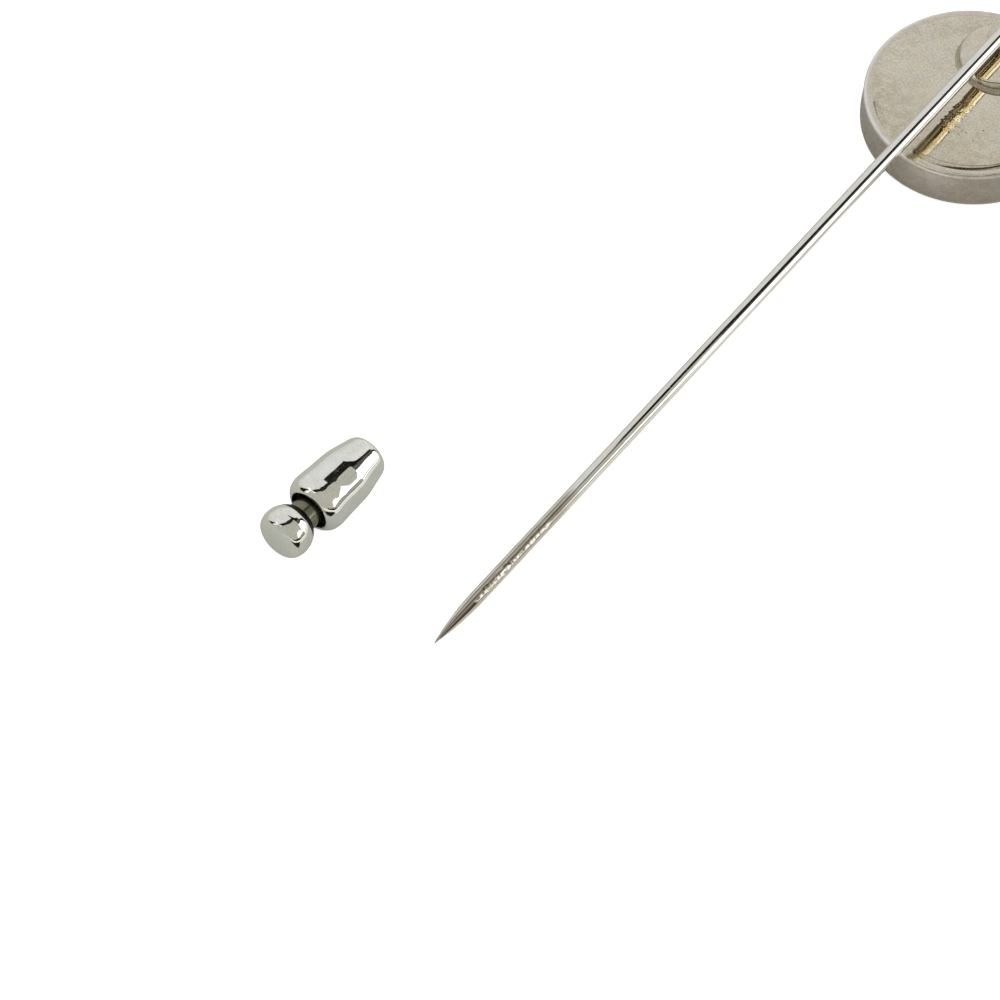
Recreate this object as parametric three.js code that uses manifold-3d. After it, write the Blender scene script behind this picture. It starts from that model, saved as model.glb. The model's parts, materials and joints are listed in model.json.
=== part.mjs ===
// A stick pin with a round head, lying on its face, and its loose pull-to-release clutch.
// Millimetres, +Z up. The head's front face rests on z = 0 and is centred on the origin.
// The wire runs along -Y from the head. The clutch lies on z = 0 beside the wire's point.
import * as THREE from 'three';
import { mergeVertices } from 'three/addons/utils/BufferGeometryUtils.js';
import Module from 'manifold-3d';

// ---- driving dimensions ----

// Head: a cup closed by a plate that is seated inside its rolled rear rim.
const HEAD_RADIUS = 8.5;
const HEAD_HEIGHT = 3.35;
const RIM_OUTER_RADIUS = 8.31;
const RIM_INNER_RADIUS = 7.68;
const FRONT_EDGE_RADIUS = 0.45;
const FACE_THICKNESS = 0.9;
const CUP_INNER_RADIUS = 7.2;
const FRONT_GROOVE = { inner: 6.35, outer: 6.95, depth: 0.3, slope: 0.12 };
const PLATE_RECESS = 0.13;
const PLATE_THICKNESS = 0.66;

// Pad, collar and wire on the back.
const PAD = { x: -0.2, y: 4.1, radius: 3.2, height: 0.75, edge: 0.2 };
const PAD_BEAD = { width: 0.13, height: 0.16 };
const FOOT_Y = 5.55;
const COLLAR = { radius: 1.45, height: 0.5, edge: 0.12 };
const COLLAR_BEAD = { width: 0.28, height: 0.12 };
const WIRE_RADIUS = 0.57;
const WIRE_X = -0.67;
const WIRE_Z = 5.27;
const WIRE_TIP_Y = -66.92;
const BEND_RADIUS = 0.8;
const POINT_LENGTH = 5.2;
const POINT_END_RADIUS = 0.05;

// Clutch, laid out along its own axis: 0 is the knob's flat end, and the wire goes in at the other
// end.
const CLUTCH = { x: -16.8, y: -65.07, skewDegrees: 2.86, length: 10.65 };
const KNOB = { radius: 2.055, centre: 1.15, flatRadius: 1.15, neckEnd: 2.78 };
const BARREL_MAX_RADIUS = 2.41;
const MOUTH = { at: 3.7, inner: 1.6, outer: 1.78 };
const BORE_RADIUS = 1.95;
const BORE_START = 4.08;
const BORE_TAPER_START = 7.9;
const BORE_END = { at: 9.36, radius: 1.62 };
const BUSH = { bore: 0.78, outer: 1.2, flangeStart: 9.12, flangeRadius: 1.55 };
const FUNNEL = { radius: 1.0, depth: 0.4 };

// Lock: balls in a cage, wedged by a cone that narrows toward the entry.
const BALL_COUNT = 3;
const BALL_RADIUS = 0.4;
const BALL_GRIP_RADIUS = 0.475;
const BALL_AT = 8.2;
const CONE_HALF_ANGLE = THREE.MathUtils.degToRad(12);
const CONE_CLEARANCE = 0.03;
const CONE = { start: 6.25, end: 9.1 };
const CAGE = { inner: 0.68, outer: 1.0, start: 1.62, end: 8.95, window: 0.45 };
const WASHER = { at: 6.6, thickness: 0.2, radius: 1.46 };
const SLEEVE = { outer: 1.22, start: 1.62, end: 4.46 };
const COLLAR_RING = { inner: 1.32, start: 4.1, end: 4.5 };
const SPRING = { wire: 0.09, meanRadius: 1.28, turns: 4 };
const POINT_POCKET = { radius: 0.85, end: 0.75 };

// Running and seating gaps.
const SEAT_GAP = 0.01;
const SLIDE_GAP = 0.03;

const HEAD_SEGMENTS = 72;
const CLUTCH_SEGMENTS = 48;
const SMALL_SEGMENTS = 24;

// ---- finishes ----

const SATIN_NICKEL = { color: 0xbdb5a8, roughness: 0.32, metalness: 1 };
const POLISHED_PLATE = { color: 0xc2baad, roughness: 0.22, metalness: 1 };
const SOLDER = { color: 0xb3aca0, roughness: 0.4, metalness: 1 };
const SILVER_WIRE = { color: 0xd8d8d4, roughness: 0.12, metalness: 1 };
const BRIGHT_NICKEL = { color: 0xcfcfc9, roughness: 0.08, metalness: 1 };
const DULL_NICKEL = { color: 0xa59d85, roughness: 0.35, metalness: 1 };
const BRASS = { color: 0xc2a25a, roughness: 0.35, metalness: 1 };
const SPRING_STEEL = { color: 0x8d8f90, roughness: 0.3, metalness: 1 };
const BALL_STEEL = { color: 0xb8babb, roughness: 0.12, metalness: 1 };

// ---- helpers ----

const wasm = await Module();
wasm.setup();

function toSolid(geometry) {
  const bare = geometry.clone();
  bare.deleteAttribute('normal');
  bare.deleteAttribute('uv');
  const merged = mergeVertices(bare, 1e-4);
  return new wasm.Manifold(new wasm.Mesh({
    numProp: 3,
    vertProperties: new Float32Array(merged.attributes.position.array),
    triVerts: new Uint32Array(merged.index.array),
  }));
}

function toGeometry(solid) {
  const mesh = solid.getMesh();
  const geometry = new THREE.BufferGeometry();
  geometry.setAttribute('position', new THREE.BufferAttribute(mesh.vertProperties, 3));
  geometry.setIndex(new THREE.BufferAttribute(mesh.triVerts, 1));
  geometry.computeVertexNormals();
  return geometry;
}

// Turns an outline of [radius, height] points round the Z axis.
function turned(outline, segments) {
  const points = outline.map(([radius, height]) => new THREE.Vector2(radius, height));
  return new THREE.LatheGeometry(points, segments).rotateX(Math.PI / 2);
}

// Turns an outline that doesn't reach the axis, so it is closed on itself.
function turnedRing(outline, segments) {
  return turned([...outline, outline[0]], segments);
}

// Points of an arc in the [radius, height] plane, angles in degrees from the +radius direction.
function arc(centreRadius, centreHeight, radius, fromDegrees, toDegrees, steps) {
  return Array.from({ length: steps + 1 }, (_, i) => {
    const angle = THREE.MathUtils.degToRad(fromDegrees + ((toDegrees - fromDegrees) * i) / steps);
    return [centreRadius + radius * Math.cos(angle), centreHeight + radius * Math.sin(angle)];
  });
}

function piece(name, geometry, finish) {
  const mesh = new THREE.Mesh(geometry, new THREE.MeshStandardMaterial(finish));
  mesh.name = name;
  return mesh;
}

// ---- head ----

const plateTop = HEAD_HEIGHT - PLATE_RECESS;
const plateBottom = plateTop - PLATE_THICKNESS;

function headCup() {
  const { inner, outer, depth, slope } = FRONT_GROOVE;
  const edge = FRONT_EDGE_RADIUS;
  const rimEdge = 0.14;
  return turned([
    [0, 0],
    [inner, 0],
    [inner + slope, depth],
    [outer - slope, depth],
    [outer, 0],
    ...arc(HEAD_RADIUS - edge, edge, edge, -90, 0, 5),
    ...arc(RIM_OUTER_RADIUS - rimEdge, HEAD_HEIGHT - rimEdge, rimEdge, 0, 90, 3),
    [RIM_INNER_RADIUS + rimEdge, HEAD_HEIGHT],
    [RIM_INNER_RADIUS, HEAD_HEIGHT - rimEdge / 2],
    [RIM_INNER_RADIUS, plateBottom - SEAT_GAP],
    [CUP_INNER_RADIUS, plateBottom - SEAT_GAP],
    [CUP_INNER_RADIUS, FACE_THICKNESS],
    [0, FACE_THICKNESS],
  ], HEAD_SEGMENTS);
}

function backPlate() {
  const radius = RIM_INNER_RADIUS - SEAT_GAP * 2;
  const edge = 0.08;
  return turned([
    [0, plateBottom],
    [radius, plateBottom],
    [radius, plateTop - edge],
    [radius - edge, plateTop],
    [0, plateTop],
  ], HEAD_SEGMENTS);
}

// ---- pad, collar and wire ----

const padBottom = plateTop + SEAT_GAP;
const padTop = padBottom + PAD.height;
const collarBottom = padTop + SEAT_GAP;
const collarTop = collarBottom + COLLAR.height;
const footHoleRadius = WIRE_RADIUS + SLIDE_GAP;

function pinPad() {
  const { radius, height, edge } = PAD;
  const disc = turned([
    [0, 0],
    [radius, 0],
    ...arc(radius - edge, height - edge, edge, 0, 90, 4),
    [0, height],
  ], HEAD_SEGMENTS);
  const hole = new THREE.CylinderGeometry(footHoleRadius, footHoleRadius, height * 3, SMALL_SEGMENTS)
    .rotateX(Math.PI / 2)
    .translate(WIRE_X - PAD.x, FOOT_Y - PAD.y, 0);
  return toGeometry(toSolid(disc).subtract(toSolid(hole)));
}

function bead(innerRadius, { width, height }, segments) {
  const outer = innerRadius + width;
  return turnedRing([
    [innerRadius, 0],
    [outer, 0],
    [outer - width * 0.35, height * 0.35],
    [innerRadius + width * 0.25, height * 0.75],
    [innerRadius, height],
  ], segments);
}

function pinCollar() {
  const { radius, height, edge } = COLLAR;
  return turnedRing([
    [footHoleRadius, 0],
    [radius, 0],
    ...arc(radius - edge, height - edge, edge, 0, 90, 3),
    [footHoleRadius, height],
  ], CLUTCH_SEGMENTS);
}

// The ground point swells from a small flat end to the full wire in a long curve.
function pointOutline() {
  const steps = 9;
  return Array.from({ length: steps + 1 }, (_, i) => {
    const along = i / steps;
    const swell = Math.sin((along * Math.PI) / 2) ** 0.85;
    return [POINT_END_RADIUS + (WIRE_RADIUS - POINT_END_RADIUS) * swell, along * POINT_LENGTH];
  });
}

// The straight shaft is turned about the wire's axis; the bend and the foot follow a path.
function pinStem() {
  const bendStartY = FOOT_Y - BEND_RADIUS;
  const shaftLength = bendStartY - WIRE_TIP_Y;
  const shaft = turned([[0, 0], ...pointOutline(), [WIRE_RADIUS, shaftLength], [0, shaftLength]], SMALL_SEGMENTS)
    .rotateX(-Math.PI / 2)
    .translate(0, WIRE_TIP_Y, WIRE_Z);

  const overlap = 0.4;
  const path = new THREE.CurvePath();
  const bendStart = new THREE.Vector3(0, bendStartY, WIRE_Z);
  const corner = new THREE.Vector3(0, FOOT_Y, WIRE_Z);
  const bendEnd = new THREE.Vector3(0, FOOT_Y, WIRE_Z - BEND_RADIUS);
  const foot = new THREE.Vector3(0, FOOT_Y, padBottom + SLIDE_GAP);
  const lead = bendStart.clone().add(new THREE.Vector3(0, -overlap, 0));
  path.add(new THREE.LineCurve3(lead, bendStart));
  const easing = 0.5523;
  path.add(new THREE.CubicBezierCurve3(
    bendStart,
    bendStart.clone().lerp(corner, easing),
    bendEnd.clone().lerp(corner, easing),
    bendEnd,
  ));
  path.add(new THREE.LineCurve3(bendEnd, foot));
  const section = new THREE.Shape().absarc(0, 0, WIRE_RADIUS - 0.004, 0, Math.PI * 2);
  const bend = new THREE.ExtrudeGeometry(section, {
    steps: 14,
    curveSegments: SMALL_SEGMENTS / 2,
    extrudePath: path,
    bevelEnabled: false,
  });
  return toGeometry(toSolid(shaft).add(toSolid(bend)));
}

// ---- clutch ----

// Radius of the cone's wall at a place along the axis: one ball radius, square to the wall, outside
// the centres of the balls.
function coneRadiusAt(place) {
  const atBall = BALL_GRIP_RADIUS + BALL_RADIUS + (BALL_RADIUS + CONE_CLEARANCE) / Math.cos(CONE_HALF_ANGLE);
  return atBall - (place - BALL_AT) * Math.tan(CONE_HALF_ANGLE);
}

function clutchBarrel() {
  const { length } = CLUTCH;
  return turnedRing([
    // the hole for the entry bush, the seat for its flange, and the bore
    [BUSH.outer, BORE_END.at],
    [BORE_END.radius, BORE_END.at],
    [BORE_RADIUS, BORE_TAPER_START],
    [BORE_RADIUS, BORE_START],
    // the rolled mouth
    [MOUTH.inner, BORE_START - 0.1],
    [MOUTH.inner, MOUTH.at + 0.08],
    [MOUTH.inner + 0.06, MOUTH.at],
    [MOUTH.outer - 0.04, MOUTH.at],
    [MOUTH.outer + 0.08, MOUTH.at + 0.07],
    // the shoulder and the long taper
    [2.04, 3.92],
    [2.2, 4.1],
    [2.33, 4.34],
    [2.39, 4.62],
    [BARREL_MAX_RADIUS, 4.95],
    [2.385, 5.5],
    [2.335, 6.2],
    [2.3, 7.0],
    [2.27, 7.65],
    [2.215, 8.15],
    [2.13, 8.6],
    [2.02, 9.1],
    [1.91, 9.6],
    [1.8, 10.08],
    [1.68, 10.36],
    [1.52, 10.54],
    [1.34, 10.63],
    [BUSH.outer, length],
  ], CLUTCH_SEGMENTS);
}

// Guides the wire's point in. Its flange is held between the barrel's end and the cone.
function entryBush() {
  const { bore, outer, flangeStart, flangeRadius } = BUSH;
  return turnedRing([
    [bore, flangeStart],
    [flangeRadius, flangeStart],
    [flangeRadius, BORE_END.at - SEAT_GAP],
    [outer - SEAT_GAP, BORE_END.at - SEAT_GAP],
    [outer - SEAT_GAP, CLUTCH.length],
    [FUNNEL.radius, CLUTCH.length],
    [bore, CLUTCH.length - FUNNEL.depth],
  ], CLUTCH_SEGMENTS);
}

function wedgeCone() {
  const boreShare = (CONE.end - BORE_TAPER_START) / (BORE_END.at - BORE_TAPER_START);
  const outerAtEnd = THREE.MathUtils.lerp(BORE_RADIUS, BORE_END.radius, boreShare);
  return turnedRing([
    [coneRadiusAt(CONE.start), CONE.start],
    [BORE_RADIUS - SEAT_GAP, CONE.start],
    [BORE_RADIUS - SEAT_GAP, BORE_TAPER_START],
    [outerAtEnd - SEAT_GAP, CONE.end],
    [coneRadiusAt(CONE.end), CONE.end],
  ], CLUTCH_SEGMENTS);
}

function retainingCollar() {
  const { inner, start, end } = COLLAR_RING;
  return turnedRing([
    [inner, start],
    [BORE_RADIUS - SEAT_GAP, start],
    [BORE_RADIUS - SEAT_GAP, end],
    [inner, end],
  ], CLUTCH_SEGMENTS);
}

function releaseSpring() {
  const { wire, meanRadius, turns } = SPRING;
  const start = COLLAR_RING.end + wire + SLIDE_GAP;
  const end = WASHER.at - wire - SLIDE_GAP;
  const stepsPerTurn = 16;
  const points = Array.from({ length: turns * stepsPerTurn + 1 }, (_, i) => {
    const angle = (i / stepsPerTurn) * Math.PI * 2;
    const along = THREE.MathUtils.lerp(start, end, i / (turns * stepsPerTurn));
    return new THREE.Vector3(meanRadius * Math.cos(angle), meanRadius * Math.sin(angle), along);
  });
  return new THREE.ExtrudeGeometry(new THREE.Shape().absarc(0, 0, wire, 0, Math.PI * 2), {
    steps: turns * stepsPerTurn,
    curveSegments: 4,
    extrudePath: new THREE.CatmullRomCurve3(points),
    bevelEnabled: false,
  });
}

// Turn of each ball about the clutch's axis.
function ballAngle(index) {
  return -Math.PI / 2 + (index * Math.PI * 2) / BALL_COUNT;
}

function ballCage() {
  const { inner, outer, start, end, window } = CAGE;
  const tube = turnedRing([
    [inner, start],
    [outer, start],
    [outer, end - 0.1],
    [outer - 0.1, end],
    [inner, end],
  ], CLUTCH_SEGMENTS);
  let cage = toSolid(tube);
  for (let index = 0; index < BALL_COUNT; index += 1) {
    const drill = new THREE.CylinderGeometry(window, window, outer * 2, SMALL_SEGMENTS)
      .translate(0, outer, 0)
      .rotateZ(ballAngle(index) - Math.PI / 2)
      .translate(0, 0, BALL_AT);
    cage = cage.subtract(toSolid(drill));
  }
  return toGeometry(cage);
}

// Pressed onto the cage, so the spring can push it.
function springWasher() {
  const inner = CAGE.outer + SEAT_GAP;
  const { at, thickness, radius } = WASHER;
  return turnedRing([
    [inner, at],
    [radius, at],
    [radius, at + thickness],
    [inner, at + thickness],
  ], CLUTCH_SEGMENTS);
}

function neckSleeve() {
  const inner = CAGE.outer + SEAT_GAP;
  const edge = 0.06;
  const { outer, start, end } = SLEEVE;
  return turnedRing([
    [inner, start],
    [outer, start],
    [outer, end - edge],
    [outer - edge, end],
    [inner, end],
  ], CLUTCH_SEGMENTS);
}

// A ball with a flat outer end, bored from the neck side for the sleeve and for the wire's point.
function clutchKnob() {
  const { radius, centre, flatRadius, neckEnd } = KNOB;
  const neckDegrees = THREE.MathUtils.radToDeg(Math.asin((neckEnd - centre) / radius));
  const shoulder = [[1.5, 0.1], [1.8, 0.31], [1.96, 0.58]];
  return turned([
    [0, 0],
    [flatRadius, 0],
    ...shoulder,
    ...arc(0, centre, radius, -8, neckDegrees, 9),
    [SLEEVE.outer + SEAT_GAP, neckEnd],
    [SLEEVE.outer + SEAT_GAP, SLEEVE.start - SEAT_GAP],
    [POINT_POCKET.radius, SLEEVE.start - SEAT_GAP],
    [POINT_POCKET.radius, POINT_POCKET.end],
    [0, POINT_POCKET.end],
  ], CLUTCH_SEGMENTS);
}

function lockingBall(index) {
  const reach = BALL_GRIP_RADIUS + BALL_RADIUS;
  const ball = piece(`locking_ball_${index + 1}`, new THREE.SphereGeometry(BALL_RADIUS, 14, 10), BALL_STEEL);
  ball.position.set(reach * Math.cos(ballAngle(index)), reach * Math.sin(ballAngle(index)), BALL_AT);
  return ball;
}

// ---- assembly ----

const pin = new THREE.Group();
pin.add(piece('head_cup', headCup(), SATIN_NICKEL));
pin.add(piece('back_plate', backPlate(), POLISHED_PLATE));

const pad = piece('pin_pad', pinPad(), SATIN_NICKEL);
pad.position.set(PAD.x, PAD.y, padBottom);
pin.add(pad);

const padBead = piece('pad_braze', bead(PAD.radius + SEAT_GAP, PAD_BEAD, HEAD_SEGMENTS), SOLDER);
padBead.position.set(PAD.x, PAD.y, padBottom);
pin.add(padBead);

const collar = piece('pin_collar', pinCollar(), SATIN_NICKEL);
collar.position.set(WIRE_X, FOOT_Y, collarBottom);
pin.add(collar);

const collarBead = piece('stem_braze', bead(footHoleRadius, COLLAR_BEAD, CLUTCH_SEGMENTS), SOLDER);
collarBead.position.set(WIRE_X, FOOT_Y, collarTop + SEAT_GAP);
pin.add(collarBead);

const stem = piece('pin_stem', pinStem(), SILVER_WIRE);
stem.position.x = WIRE_X;
pin.add(stem);

// Along the clutch's own axis, laid down so that the entry end points back toward the head.
const clutch = new THREE.Group();
clutch.rotation.x = -Math.PI / 2;
clutch.add(piece('clutch_barrel', clutchBarrel(), BRIGHT_NICKEL));
clutch.add(piece('entry_bush', entryBush(), DULL_NICKEL));
clutch.add(piece('wedge_cone', wedgeCone(), SPRING_STEEL));
clutch.add(piece('retaining_collar', retainingCollar(), DULL_NICKEL));
clutch.add(piece('release_spring', releaseSpring(), SPRING_STEEL));
clutch.add(piece('ball_cage', ballCage(), BRASS));
clutch.add(piece('spring_washer', springWasher(), BRASS));
clutch.add(piece('neck_sleeve', neckSleeve(), DULL_NICKEL));
clutch.add(piece('clutch_knob', clutchKnob(), BRIGHT_NICKEL));
for (let index = 0; index < BALL_COUNT; index += 1) {
  clutch.add(lockingBall(index));
}

const clutchPlace = new THREE.Group();
clutchPlace.position.set(CLUTCH.x, CLUTCH.y, BARREL_MAX_RADIUS);
clutchPlace.rotation.z = -THREE.MathUtils.degToRad(CLUTCH.skewDegrees);
clutchPlace.add(clutch);

const stickPin = new THREE.Group();
stickPin.name = 'stick_pin';
stickPin.add(pin, clutchPlace);

export default stickPin;
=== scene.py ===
"""Looks of the stick pin and its clutch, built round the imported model. Outlines are in millimetres."""
import json
import math
import random

import bmesh
import bpy
import numpy as np
from mathutils import Matrix, Vector, noise


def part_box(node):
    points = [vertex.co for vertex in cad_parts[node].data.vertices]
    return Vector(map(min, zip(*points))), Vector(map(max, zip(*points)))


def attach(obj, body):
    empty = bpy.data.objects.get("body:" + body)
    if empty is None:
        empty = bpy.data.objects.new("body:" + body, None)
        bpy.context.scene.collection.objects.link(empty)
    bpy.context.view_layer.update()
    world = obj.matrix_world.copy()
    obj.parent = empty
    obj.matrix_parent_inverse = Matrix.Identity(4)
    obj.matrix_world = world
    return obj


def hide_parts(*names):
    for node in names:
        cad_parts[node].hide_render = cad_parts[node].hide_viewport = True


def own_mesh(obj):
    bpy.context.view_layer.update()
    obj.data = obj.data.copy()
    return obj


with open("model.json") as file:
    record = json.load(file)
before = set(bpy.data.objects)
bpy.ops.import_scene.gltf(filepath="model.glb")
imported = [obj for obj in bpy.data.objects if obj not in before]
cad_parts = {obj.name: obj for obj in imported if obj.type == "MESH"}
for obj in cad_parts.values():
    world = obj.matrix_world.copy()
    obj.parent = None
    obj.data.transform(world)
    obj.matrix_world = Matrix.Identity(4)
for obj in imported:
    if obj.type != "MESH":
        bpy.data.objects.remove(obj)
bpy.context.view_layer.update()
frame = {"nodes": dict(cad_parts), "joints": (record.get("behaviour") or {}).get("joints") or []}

MM = 0.001
NODES = frame["nodes"]
JOINTS = {j["name"]: j for j in frame["joints"]}
SEED = 7

# ---- dimensions of the head and the pin, as in the CAD ----

HEAD_RADIUS = 8.5
RIM_INNER = 7.68
CUP_INNER = 7.2
CUP_FLOOR = 0.9
FRONT_FIELD = 6.35
FRONT_GROOVE_DEPTH = 0.3
PLATE_TOP = 3.22
PLATE_BOTTOM = 2.56
PAD_CENTRE = (-0.2, 4.1)
PAD_RADIUS = 3.2
PAD_BOTTOM = 3.23
PAD_TOP = 3.98
WIRE_X = -0.67
WIRE_Z = 5.27
WIRE_RADIUS = 0.57
WIRE_TIP_Y = -66.92
FOOT_Y = 5.55
FOOT_HOLE = 0.6
BEND_RADIUS = 0.8
COLLAR_RADIUS = 1.45
COLLAR_BOTTOM = 3.99
COLLAR_TOP = 4.49
POINT_LENGTH = 5.2
POINT_END_RADIUS = 0.05

# ---- dimensions of the clutch along its own axis, as in the CAD ----

BORE_RADIUS = 1.95
KNOB_RADIUS = 2.055
BALL_AT = 8.2
BALL_RADIUS = 0.4
CAGE_WINDOW = 0.45
SPRING_WIRE = 0.09
SPRING_RADIUS = 1.28
SPRING_START = 4.5
SPRING_END = 6.6

# ---- detail that only the looks have ----

# the rolled rim: where it leaves the side wall, and its highest ring
RIM_FOOT = (8.33, 2.85)
RIM_CREST = (7.74, 3.348)

# the plate's edge, rubbed up to the rim, and the side where a groove is left open in its place
PLATE_RADIUS = 7.69
BURNISH_START = 5.2
BURNISH_WIDTH = 2.4
BURNISH_HEIGHT = 0.123
OPEN_GROOVE_START = 7.05
OPEN_GROOVE_WIDTH = 0.5
OPEN_GROOVE_DEPTH = 0.16
OPEN_SIDE_DEGREES = -62

# the stretch of wire that the clutch's balls have bitten, from one Y to the other
BITTEN = (-62.4, -52.8)

HEAD_SEGMENTS = 288
PAD_SEGMENTS = 192
SMALL_SEGMENTS = 128
WIRE_SIDES = 64
CLUTCH_SEGMENTS = 224
CAGE_SEGMENTS = 112


# ---- outlines and meshes ----

def fillet(corners, step_degrees=9.0, support=0.04):
    """Rounds each (radius, height, fillet radius) corner and adds support points on the straights."""
    points = []
    count = len(corners)
    for i, (x, y, r) in enumerate(corners):
        here = np.array((x, y), float)
        if r <= 0 or i in (0, count - 1):
            points.append(here)
            continue
        before = np.array(corners[i - 1][:2], float) - here
        after = np.array(corners[i + 1][:2], float) - here
        room = min(np.linalg.norm(before), np.linalg.norm(after)) * 0.48
        before /= np.linalg.norm(before)
        after /= np.linalg.norm(after)
        half = math.acos(max(-1.0, min(1.0, float(before @ after)))) / 2
        reach = min(r / math.tan(half), room)
        r = reach * math.tan(half)
        middle = before + after
        centre = here + middle / np.linalg.norm(middle) * (r / math.sin(half))
        start = here + before * reach - centre
        end = here + after * reach - centre
        turn = math.atan2(start[0] * end[1] - start[1] * end[0], start @ end)
        steps = max(2, int(abs(math.degrees(turn)) / step_degrees) + 1)
        for k in range(steps + 1):
            a = turn * k / steps
            c, s = math.cos(a), math.sin(a)
            points.append(centre + np.array((c * start[0] - s * start[1], s * start[0] + c * start[1])))
    refined = [points[0]]
    for a, b in zip(points, points[1:]):
        length = np.linalg.norm(b - a)
        if length > 4 * support:
            refined += [a + (b - a) * support / length, b + (a - b) * support / length]
        refined.append(b)
    return [tuple(p) for p in refined]


def flowing(points, step=0.05, soften=0.12):
    """A smooth curve through (radius, height) points: sampled evenly, then softened along its length."""
    p = np.array(points, float)
    padded = np.vstack([2 * p[0] - p[1], p, 2 * p[-1] - p[-2]])
    samples = []
    for i in range(1, len(padded) - 2):
        p0, p1, p2, p3 = padded[i - 1:i + 3]
        for t in np.linspace(0, 1, 24, endpoint=False):
            samples.append(0.5 * (2 * p1 + (p2 - p0) * t + (2 * p0 - 5 * p1 + 4 * p2 - p3) * t * t
                                  + (3 * p1 - p0 - 3 * p2 + p3) * t ** 3))
    samples = np.array(samples + [p[-1]])
    along = np.r_[0, np.cumsum(np.linalg.norm(np.diff(samples, axis=0), axis=1))]
    even = np.linspace(0, along[-1], max(8, int(along[-1] / step)))
    curve = np.stack([np.interp(even, along, samples[:, k]) for k in range(2)], 1)
    reach = max(1, int(soften / (even[1] - even[0])))
    kernel = np.ones(2 * reach + 1) / (2 * reach + 1)
    for _ in range(2):
        extended = np.vstack([
            2 * curve[0] - curve[reach:0:-1],
            curve,
            2 * curve[-1] - curve[-2:-2 - reach:-1],
        ])
        curve = np.stack([np.convolve(extended[:, k], kernel, "valid") for k in range(2)], 1)
    return [tuple(c) for c in curve]


def mesh_object(name, vertices, faces, body):
    """A smooth object with its faces turned outward, riding on a body."""
    mesh = bpy.data.meshes.new(name)
    mesh.from_pydata([tuple(v) for v in vertices], [], faces)
    mesh.validate()
    shell = bmesh.new()
    shell.from_mesh(mesh)
    bmesh.ops.recalc_face_normals(shell, faces=shell.faces)
    shell.to_mesh(mesh)
    shell.free()
    mesh.shade_smooth()
    obj = bpy.data.objects.new(name, mesh)
    bpy.context.scene.collection.objects.link(obj)
    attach(obj, body)
    return obj


def turned(outline, segments, place, closed=False, wobble=None, lift=None):
    """Turns an outline of (radius, height) round the axis of place, a 4x4 in millimetres to metres.

    wobble and lift give a change of radius and of height at (angle, height, radius).
    """
    vertices, rows, faces = [], [], []
    for r, h in outline:
        if r < 1e-6:
            rows.append([len(vertices)])
            vertices.append(place @ Vector((0, 0, h)))
            continue
        row = []
        for k in range(segments):
            a = 2 * math.pi * k / segments
            reach = r + (wobble(a, h, r) if wobble else 0.0)
            raised = h + (lift(a, h, r) if lift else 0.0)
            row.append(len(vertices))
            vertices.append(place @ Vector((reach * math.cos(a), reach * math.sin(a), raised)))
        rows.append(row)
    pairs = list(zip(rows, rows[1:])) + ([(rows[-1], rows[0])] if closed else [])
    for low, high in pairs:
        for k in range(segments):
            n = (k + 1) % segments
            if len(low) == 1 and len(high) == 1:
                continue
            if len(low) == 1:
                faces.append((low[0], high[n], high[k]))
            elif len(high) == 1:
                faces.append((low[k], low[n], high[0]))
            else:
                faces.append((low[k], low[n], high[n], high[k]))
    return vertices, faces


def cut(obj, cutters):
    """Takes each cutter, a (vertices, faces) pair, out of obj."""
    for vertices, faces in cutters:
        mesh = bpy.data.meshes.new("cutter")
        mesh.from_pydata([tuple(v) for v in vertices], [], faces)
        tool = bpy.data.objects.new("cutter", mesh)
        bpy.context.scene.collection.objects.link(tool)
        modifier = obj.modifiers.new("cut", "BOOLEAN")
        modifier.operation = "DIFFERENCE"
        modifier.solver = "EXACT"
        modifier.object = tool
        bpy.context.view_layer.update()
        evaluated = obj.evaluated_get(bpy.context.evaluated_depsgraph_get())
        result = bpy.data.meshes.new_from_object(evaluated)
        obj.modifiers.clear()
        obj.data = result
        bpy.data.objects.remove(tool)
    return obj


def finished(obj, material, node):
    """Gives a piece its material and face-weighted normals, and hides the CAD node that it stands for."""
    obj.data.materials.clear()
    obj.data.materials.append(material)
    weighted = obj.modifiers.new("face_weighted_normals", "WEIGHTED_NORMAL")
    weighted.keep_sharp = True
    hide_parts(node)
    return obj


def upright(x, y):
    """A frame with its axis along +Z, in millimetres."""
    return Matrix.Scale(MM, 4) @ Matrix.Translation((x, y, 0))


def rounded_noise(x, y, z):
    """Smooth noise from -1 to 1, the same on every run."""
    return noise.noise(Vector((x + 31.7, y - 12.4, z + SEED)))


def share(value, low, high):
    """How far value is from low to high, kept within 0 and 1."""
    return min(1.0, max(0.0, (value - low) / (high - low)))


# ---- shader helpers ----

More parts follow.
